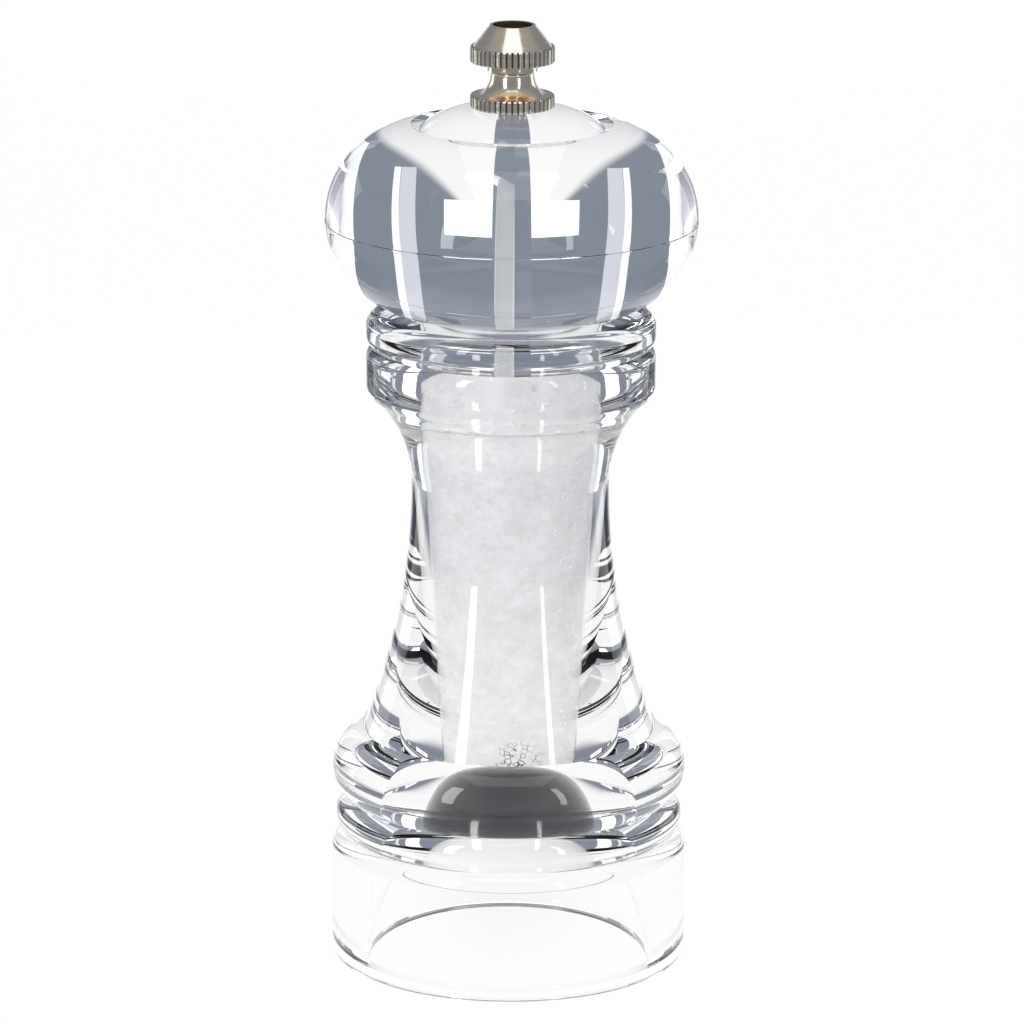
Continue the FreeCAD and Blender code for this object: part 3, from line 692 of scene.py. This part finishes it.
class MILL_OT_nut(bpy.types.Operator):
    """Nickel-plated nut with two knurled rings and an open cone."""
    bl_idname = "mill.nut"
    bl_label = "Knurled nut"

    def execute(self, context):
        mill = settings()
        n = mill.nut
        bottom = nut_seat(mill) + n.gap
        inset = n.radius - n.edge
        points = outline([
            (n.bore, bottom + n.edge),
            (n.bore + n.edge, bottom),
            (inset, bottom),
            (n.radius, bottom + n.edge),
            (n.radius, bottom + n.flange_height - n.edge),
            (inset, bottom + n.flange_height),
            (n.neck_flare, bottom + n.flange_height),
            (n.neck_radius, bottom + n.neck_waist,
             upright_arc(n.neck_flare - n.neck_radius, n.neck_waist - n.flange_height), -1),
            (n.collar_radius, bottom + n.neck_waist + n.collar_cove,
             upright_arc(n.collar_radius - n.neck_radius, n.collar_cove), -1),
            (n.collar_radius, bottom + n.ring_bottom),
            (inset, bottom + n.ring_bottom),
            (n.radius, bottom + n.ring_bottom + n.edge),
            (n.radius, bottom + n.ring_top - n.edge),
            (inset, bottom + n.ring_top),
            (n.radius - n.cone_step, bottom + n.ring_top),
            (n.tip_radius, bottom + n.height),
            (n.tip_radius - n.tip_wall, bottom + n.height),
            (n.tip_radius - n.tip_wall, bottom + n.hole_floor),
            (n.bore, bottom + n.hole_floor),
        ])
        angles = round_angles(n.knurl_count * KNURL_STEPS)
        pitch = 2 * math.pi / n.knurl_count
        half = n.knurl_width / 2 / n.radius

        def knurl(a):
            off = abs((a + pitch / 2) % pitch - pitch / 2)
            return n.radius - n.knurl_depth * max(0.0, 1 - off / half)

        rings = [shaped_ring(height, angles, knurl, radius) for radius, height in points]
        mesh = ringed_mesh("knurled_nut", rings, True)
        piece = add_piece("knurled_nut", mesh, nickel_material(mill), "finial", "finial")
        return {"FINISHED"}


class MILL_OT_shaft(bpy.types.Operator):
    """Square shaft with a threaded top and a turned lower end."""
    bl_idname = "mill.shaft"
    bl_label = "Square shaft"

    def execute(self, context):
        mill = settings()
        s = mill.shaft
        seat = nut_seat(mill)
        square_top = seat - s.thread_drop
        thread_top = seat + mill.nut.gap + s.thread_engagement
        angles = round_angles(SHAFT_SEGMENTS, s.turn + math.pi / 4)
        # Both ends are cut back by the depth of the thread
        lead = s.thread_depth

        def thread_ring(height):
            """A ring across the thread, with its end cut back."""

            def flank(a):
                along = (height / s.thread_pitch - a / (2 * math.pi)) % 1
                return s.thread_radius - s.thread_depth * abs(2 * along - 1)

            return shaped_ring(height, angles, flank, s.thread_radius - lead + thread_top - height)

        rings = round_rings((
            (s.journal_radius - lead, s.journal_bottom),
            (s.journal_radius, s.journal_bottom + lead),
            (s.journal_radius, s.clip_groove_bottom),
            (s.clip_groove_radius, s.clip_groove_bottom),
            (s.clip_groove_radius, s.square_bottom),
        ), angles)
        for height in (s.square_bottom, square_top):
            rings.append(square_ring(s.side / 2, s.turn, s.corner, height, angles))
        steps = math.ceil((thread_top - square_top) / s.thread_pitch * THREAD_STEPS)
        for step in range(steps + 1):
            rings.append(thread_ring(square_top + (thread_top - square_top) * step / steps))
        mesh = ringed_mesh("square_shaft", rings, False)
        metal = grain_material(
            "drawn_aluminium", mill.finish.aluminium, spread=0.10, rough=(0.30, 0.45), scale=700.0,
            stretch=(1.0, 1.0, 0.02), bump=0.2, metallic=0.5
        )
        piece = add_piece("square_shaft", mesh, metal, "spindle", "drive_shaft")
        return {"FINISHED"}


# Salt, spring and mechanism

def new_shape(name, inputs):
    """A geometry node group with these inputs and one geometry output, and what its input node gives."""
    return new_group(name, "GeometryNodeTree", inputs, (("Geometry", "Geometry", None),))


def finish_shape(tree, geometry, material):
    """Ends a geometry node group with its material."""
    painted = add_node(tree, "GeometryNodeSetMaterial", {"Geometry": geometry, "Material": material})
    add_node(tree, "NodeGroupOutput", {"Geometry": painted.outputs["Geometry"]})


def random_vector(tree, seed, least, most):
    """A vector that differs from point to point."""
    inputs = {"Seed": seed, "Min": least, "Max": most}
    return add_node(tree, "FunctionNodeRandomValue", inputs, data_type="FLOAT_VECTOR").outputs["Value"]


def salt_tree():
    """Crystals strewn over a surface, turned and sized at random, with the surface kept."""
    tree, inputs = new_shape("salt_crystals", (
        ("Geometry", "Geometry", None),
        ("Grain", "Float", 0.001),
        ("Sunk", "Float", 0.0005),
        ("Density", "Float", 1.0),
        ("Seed", "Int", 0),
        ("Material", "Material", None),
    ))
    strewn = add_node(tree, "GeometryNodeDistributePointsOnFaces", {
        "Mesh": inputs["Geometry"], "Density": inputs["Density"], "Seed": inputs["Seed"],
    }).outputs
    inward = maths(tree, "MULTIPLY", inputs["Sunk"], -1.0)
    sunk = add_node(tree, "GeometryNodeSetPosition", {
        "Geometry": strewn["Points"], "Offset": scaled(tree, strewn["Normal"], inward),
    })
    size = add_node(tree, "ShaderNodeCombineXYZ", {axis: inputs["Grain"] for axis in "XYZ"})
    crystal = add_node(tree, "GeometryNodeMeshCube", {"Size": size.outputs["Vector"]})
    crystals = add_node(tree, "GeometryNodeInstanceOnPoints", {
        "Points": sunk.outputs["Geometry"],
        "Instance": crystal.outputs["Mesh"],
        "Rotation": random_vector(tree, inputs["Seed"], (0.0,) * 3, (2 * math.pi,) * 3),
        "Scale": random_vector(tree, inputs["Seed"], *CRYSTAL_SCALES),
    })
    real = add_node(tree, "GeometryNodeRealizeInstances", {"Geometry": crystals.outputs["Instances"]})
    join = add_node(tree, "GeometryNodeJoinGeometry")
    for geometry in (real.outputs["Geometry"], inputs["Geometry"]):
        feed(tree, join, {"Geometry": geometry})
    finish_shape(tree, join.outputs["Geometry"], inputs["Material"])
    return tree


def spring_tree():
    """A wound wire: a spiral given a round section."""
    tree, inputs = new_shape("wound_wire", (
        ("Turns", "Float", 4.0),
        ("Radius", "Float", 0.003),
        ("Rise", "Float", 0.005),
        ("Bottom", "Float", 0.0),
        ("Wire", "Float", 0.0006),
        ("Material", "Material", None),
    ))
    spiral = add_node(tree, "GeometryNodeCurveSpiral", {
        "Resolution": COIL_STEPS, "Rotations": inputs["Turns"], "Height": inputs["Rise"],
        "Start Radius": inputs["Radius"], "End Radius": inputs["Radius"],
    })
    lift = add_node(tree, "ShaderNodeCombineXYZ", {"Z": inputs["Bottom"]})
    lifted = add_node(tree, "GeometryNodeTransform", {
        "Geometry": spiral.outputs["Curve"], "Translation": lift.outputs["Vector"],
    })
    section = add_node(tree, "GeometryNodeCurvePrimitiveCircle", {
        "Resolution": WIRE_STEPS, "Radius": maths(tree, "MULTIPLY", inputs["Wire"], 0.5),
    })
    wire = add_node(tree, "GeometryNodeCurveToMesh", {
        "Curve": lifted.outputs["Geometry"], "Profile Curve": section.outputs["Curve"], "Fill Caps": True,
    })
    real = add_node(tree, "GeometryNodeRealizeInstances", {"Geometry": wire.outputs["Mesh"]})
    finish_shape(tree, real.outputs["Geometry"], inputs["Material"])
    return tree


def grown_mesh(name, start, tree, values):
    """The plain mesh that a node tree makes from a start mesh and values for its named inputs."""
    carrier = add_object(f"{name}_start", start)
    modifier = carrier.modifiers.new("shape", "NODES")
    modifier.node_group = tree
    for item in tree.interface.items_tree:
        if item.in_out == "INPUT" and item.name in values:
            modifier[item.identifier] = values[item.name]
    evaluated = carrier.evaluated_get(bpy.context.evaluated_depsgraph_get())
    mesh = bpy.data.meshes.new_from_object(evaluated)
    mesh.name = name
    carrier.modifiers.clear()
    bpy.data.objects.remove(carrier)
    if not mesh.polygons:
        raise RuntimeError(f"{name} came out empty")
    return mesh


def salt_material(mill):
    """Crystals that differ a little in tone, with painted shade in the gaps between a few of them at the
    foot.
    """
    salt = mill.salt

    def tinted_and_shaded(tree, colours):
        spot = place(tree)
        grains = {"Vector": spot, "Scale": 1.0 / salt.grain}
        cells = add_node(tree, "ShaderNodeTexVoronoi", grains)
        edges = add_node(tree, "ShaderNodeTexVoronoi", grains, feature="DISTANCE_TO_EDGE")
        drawn = add_node(tree, "ShaderNodeSeparateColor", {"Color": cells.outputs["Color"]}).outputs
        tint = ramp(tree, drawn["Red"], 0.0, 1.0, salt.tint, 1.0)
        # Painted shade: near a spot at the foot, the crystals' edges are painted dark to stand for shade
        # in the gaps
        away = vector_maths(tree, "DISTANCE", spot, salt.gap_shade_spot)["Value"]
        widest = ramp(tree, away, 0.0, salt.gap_shade_reach, *GAP_SHADE_WIDTHS)
        width = maths(tree, "MULTIPLY", widest, ramp(tree, drawn["Green"], *GAP_SHADE_DRAW))
        gap = maths(tree, "LESS_THAN", edges.outputs["Distance"], width)
        shade = ramp(tree, gap, 0.0, 1.0, 1.0, salt.gap_shade)
        return scaled(tree, colours, maths(tree, "MULTIPLY", tint, shade))

    return grain_material(
        "salt_crystals", mill.finish.salt, spread=0.15, rough=(0.35, 0.6), scale=260.0, bump=0.3,
        tone=tinted_and_shaded
    )


def steel_material(finish):
    """Plain steel with a slight grain along the axis."""
    return grain_material(
        "plain_steel", finish.steel, spread=0.08, rough=(0.25, 0.4), scale=600.0,
        stretch=(1.0, 1.0, 0.3), bump=0.1, metallic=1.0
    )


def housing_material(finish):
    """Dark moulding with a pale lower half, parted at one height."""

    def parted(tree, dark):
        height = axes(tree, place(tree))["Z"]
        upper = ramp(tree, height, finish.housing_part, finish.housing_part + finish.part_edge)
        return blend(tree, upper, shaded(finish.pale_plastic), dark)

    return grain_material(
        "moulded_dark", finish.dark_plastic, spread=0.2, rough=(0.1, 0.18), scale=800.0, bump=0.03,
        tone=parted
    )


class MILL_OT_salt(bpy.types.Operator):
    """Coarse salt crystals packed in the hopper."""
    bl_idname = "mill.salt"
    bl_label = "Salt"

    def execute(self, context):
        mill = settings()
        b, s = mill.body, mill.salt
        inset = s.gap + s.proud
        mouth = b.neck_bore - b.neck_ledge
        slope = (mouth - b.hopper_foot) / (b.hopper_mouth - b.seat_top)
        bottom = b.seat_top + inset
        ledge = b.hopper_mouth + inset
        top = b.top + mill.head.gap - mill.head.spigot_length - s.headroom - s.proud
        points = []
        for step in range(SALT_STEPS + 1):
            height = bottom + (ledge - bottom) * step / SALT_STEPS
            points.append((b.hopper_foot + slope * (height - b.seat_top) - inset, height))
        points += [
            (b.neck_bore - inset, ledge),
            (b.neck_bore - inset, top),
            (s.hole_radius + s.proud, top + s.mound),
            (s.hole_radius + s.proud, bottom),
        ]
        bed = ringed_mesh("salt_bed", round_rings(points, round_angles(SALT_SEGMENTS)), True)
        salt = salt_material(mill)
        widest = CRYSTAL_SCALES[1]
        reach = s.grain / 2 * math.sqrt(sum(scale * scale for scale in widest))
        mesh = grown_mesh("salt", bed, salt_tree(), {
            "Grain": s.grain,
            "Sunk": reach - s.proud,
            "Density": s.density * SQUARE_MM_PER_SQUARE_M,
            "Seed": s.seed,
            "Material": salt,
        })
        piece = add_piece("salt", mesh, salt, "mill_body", "salt_fill")
        return {"FINISHED"}


class MILL_OT_spring(bpy.types.Operator):
    """Burr spring, wound at one length though the nut presses it as it draws the cone up."""
    bl_idname = "mill.spring"
    bl_label = "Burr spring"

    def execute(self, context):
        mill = settings()
        s = mill.salt
        margin = s.spring_wire / 2 + s.spring_gap
        steel = steel_material(mill.finish)
        mesh = grown_mesh("burr_spring_coil", bpy.data.meshes.new("spring_start"), spring_tree(), {
            "Turns": float(s.spring_turns),
            "Radius": s.spring_radius,
            "Rise": s.spring_top - s.spring_bottom - 2 * margin,
            "Bottom": s.spring_bottom + margin,
            "Wire": s.spring_wire,
            "Material": steel,
        })
        mesh.shade_smooth()
        piece = add_piece("burr_spring_coil", mesh, steel, "turning_set", "burr_spring")
        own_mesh(piece)
        return {"FINISHED"}


class MILL_OT_mechanism(bpy.types.Operator):
    """Finishes of the pieces inside the skirt that keep their solids."""
    bl_idname = "mill.mechanism"
    bl_label = "Mechanism finishes"

    def execute(self, context):
        finish = settings().finish
        ceramic = grain_material(
            "fired_ceramic", finish.ceramic, spread=0.05, rough=(0.4, 0.6), scale=900.0, bump=0.2
        )
        pale = grain_material(
            "moulded_pale", finish.pale_plastic, spread=0.04, rough=(0.4, 0.55), scale=700.0
        )
        finishes = {
            "burr_housing": housing_material(finish),
            "shaft_bush": pale,
            "outer_burr": ceramic,
            "inner_burr": ceramic,
        }
        for node in ("spring_washer", "burr_washer", "shaft_clip", "bottom_bridge", "bridge_screws"):
            finishes[node] = steel_material(finish)
        for node, material in finishes.items():
            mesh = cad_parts[node].data
            mesh.materials.clear()
            mesh.materials.append(material)
        return {"FINISHED"}


# Stage

def seen_rays(tree):
    """1 for rays that show a surface directly, in a reflection or through the acrylic, otherwise 0."""
    path = tree.nodes.new("ShaderNodeLightPath").outputs
    direct = maths(tree, "ADD", path["Is Camera Ray"], path["Is Glossy Ray"])
    return maths(tree, "ADD", direct, path["Is Transmission Ray"], clamp=True)


def floor_material(stage):
    """Pale floor: a white lane that widens away from the camera, in the room's grey."""
    material = bpy.data.materials.new("pale_floor")
    material.use_nodes = True
    tree = material.node_tree
    spot = axes(tree, place(tree))
    behind = maths(tree, "MAXIMUM", spot["Y"], 0.0)
    widening = maths(tree, "MULTIPLY", behind, -stage.lane_spread)
    across = maths(tree, "ADD", maths(tree, "ABSOLUTE", spot["X"]), widening)
    width, reach, front, edge = stage.lane_width, stage.lane_length, -stage.lane_front, stage.lane_edge
    sides = ramp(tree, across, width, width + edge, 1.0, 0.0, "SMOOTHSTEP")
    far = ramp(tree, spot["Y"], reach, reach + edge, 1.0, 0.0)
    near = ramp(tree, spot["Y"], front, front - edge, 1.0, 0.0)
    lane = maths(tree, "MULTIPLY", sides, maths(tree, "MULTIPLY", far, near))
    tone = blend(tree, lane, shaded(stage.room), shaded(stage.floor))
    feed(tree, tree.nodes["Principled BSDF"], {"Base Color": tone, "Roughness": stage.floor_roughness})
    glow = add_node(tree, "ShaderNodeEmission", {"Color": tone})
    share = maths(tree, "MULTIPLY", seen_rays(tree), stage.floor_glow)
    mix_surface(tree, share, glow.outputs["Emission"])
    return material


def room_world(stage):
    """The room: grey with a pale ceiling where it is seen, and an even light on everything matt."""
    world = bpy.data.worlds.new("room")
    world.use_nodes = True
    tree = world.node_tree
    height = axes(tree, place(tree, "Generated"))["Z"]
    low, high = math.sin(stage.ceiling_low), math.sin(stage.ceiling_high)
    ceiling = ramp(tree, height, low, high, shape="SMOOTHSTEP")
    seen = blend(tree, ceiling, shaded(stage.room), shaded(stage.ceiling))
    tone = blend(tree, seen_rays(tree), shaded(stage.fill), seen)
    feed(tree, tree.nodes["Background"], {"Color": tone})
    return world


def facing(aim, azimuth, elevation, distance):
    """Place and turn of what faces a point. Azimuth 0 is behind the mill and 90 degrees on its right."""
    level = math.cos(elevation)
    away = Vector((math.sin(azimuth) * level, math.cos(azimuth) * level, math.sin(elevation)))
    return Matrix.Translation(aim + away * distance) @ away.to_track_quat("Z", "Y").to_matrix().to_4x4()


def add_lamp(aim, name, azimuth, elevation, distance, width, height, radiance):
    """A soft box that faces the mill."""
    lamp = bpy.data.lights.new(name, "AREA")
    lamp.shape = "RECTANGLE"
    lamp.size, lamp.size_y = width, height
    lamp.energy = radiance * math.pi * width * height
    holder = add_object(name, lamp)
    holder.matrix_world = facing(aim, math.radians(azimuth), math.radians(elevation), distance)


LAMPS = (
    # name, azimuth and elevation in degrees, distance, width and height in metres, radiance
    ("backdrop", 0, 0, 1.05, 0.50, 0.15, 1.0),
    ("back_card_left", -54.5, 7, 0.25, 0.105, 0.214, 1.1),
    ("back_card_right", 54.5, 7, 0.25, 0.105, 0.214, 1.1),
    ("back_strip_left", -25, 9, 0.45, 0.018, 0.29, 0.9),
    ("back_strip_right", 25, 9, 0.45, 0.018, 0.29, 0.9),
    ("back_veil_left", -21.5, 9, 0.45, 0.036, 0.29, 0.48),
    ("back_veil_right", 21.5, 9, 0.45, 0.036, 0.29, 0.48),
    ("front_box_left", -141, 20, 0.9, 0.13, 0.75, 7.0),
    ("front_box_right", 145, 20, 0.9, 0.07, 0.75, 6.0),
    ("top_box", 180, 75, 0.9, 0.6, 0.6, 1.2),
)


class MILL_OT_stage(bpy.types.Operator):
    """Pale floor, soft lamps, room light and the camera."""
    bl_idname = "mill.stage"
    bl_label = "Stage"

    def execute(self, context):
        stage = settings().stage
        scene = context.scene
        scene.view_settings.view_transform = "Standard"
        mesh = bpy.data.meshes.new("pale_floor")
        reach, level = stage.floor_reach, stage.floor_rise
        corners = [(x * reach, y * reach, level) for x, y in ((-1, -1), (1, -1), (1, 1), (-1, 1))]
        mesh.from_pydata(corners, [], [(0, 1, 2, 3)])
        mesh.materials.append(floor_material(stage))
        floor = add_object("pale_floor", mesh)
        scene.world = room_world(stage)
        aim = Vector((0, 0, stage.target))
        for lamp in LAMPS:
            add_lamp(aim, *lamp)
        camera = bpy.data.cameras.new("photo_camera")
        camera.angle = stage.view
        holder = add_object("photo_camera", camera)
        aim = Vector((stage.aside, 0, stage.target))
        front = facing(aim, math.pi, stage.elevation, stage.distance)
        holder.matrix_world = front @ Matrix.Rotation(stage.roll, 4, "Z")
        scene.camera = holder
        return {"FINISHED"}


class MILL_PT_sidebar(bpy.types.Panel):
    """Lists the mill's pieces and settings."""
    bl_idname = "MILL_PT_sidebar"
    bl_label = "Salt mill"
    bl_space_type = "VIEW_3D"
    bl_region_type = "UI"
    bl_category = "Salt Mill"

    def draw(self, context):
        for operator in OPERATORS:
            self.layout.operator(operator.bl_idname)
        for part in MillSettings.__annotations__:
            group = getattr(settings(), part)
            box = self.layout.box()
            box.label(text=part.capitalize())
            for name in group.__annotations__:
                box.prop(group, name)


OPERATORS = (
    MILL_OT_body, MILL_OT_head, MILL_OT_nut, MILL_OT_shaft, MILL_OT_salt, MILL_OT_spring,
    MILL_OT_mechanism, MILL_OT_stage,
)
CLASSES = (
    MillBodySettings, MillHeadSettings, MillNutSettings, MillShaftSettings, MillSaltSettings,
    MillFinishSettings, MillStageSettings, MillSettings, *OPERATORS, MILL_PT_sidebar,
)


def register():
    for cls in CLASSES:
        bpy.utils.register_class(cls)
    bpy.types.Scene.salt_mill = PointerProperty(type=MillSettings)


def unregister():
    del bpy.types.Scene.salt_mill
    for cls in reversed(CLASSES):
        bpy.utils.unregister_class(cls)


def main():
    register()
    for operator in OPERATORS:
        group, name = operator.bl_idname.split(".")
        getattr(getattr(bpy.ops, group), name)()


if __name__ == "__main__":
    main()
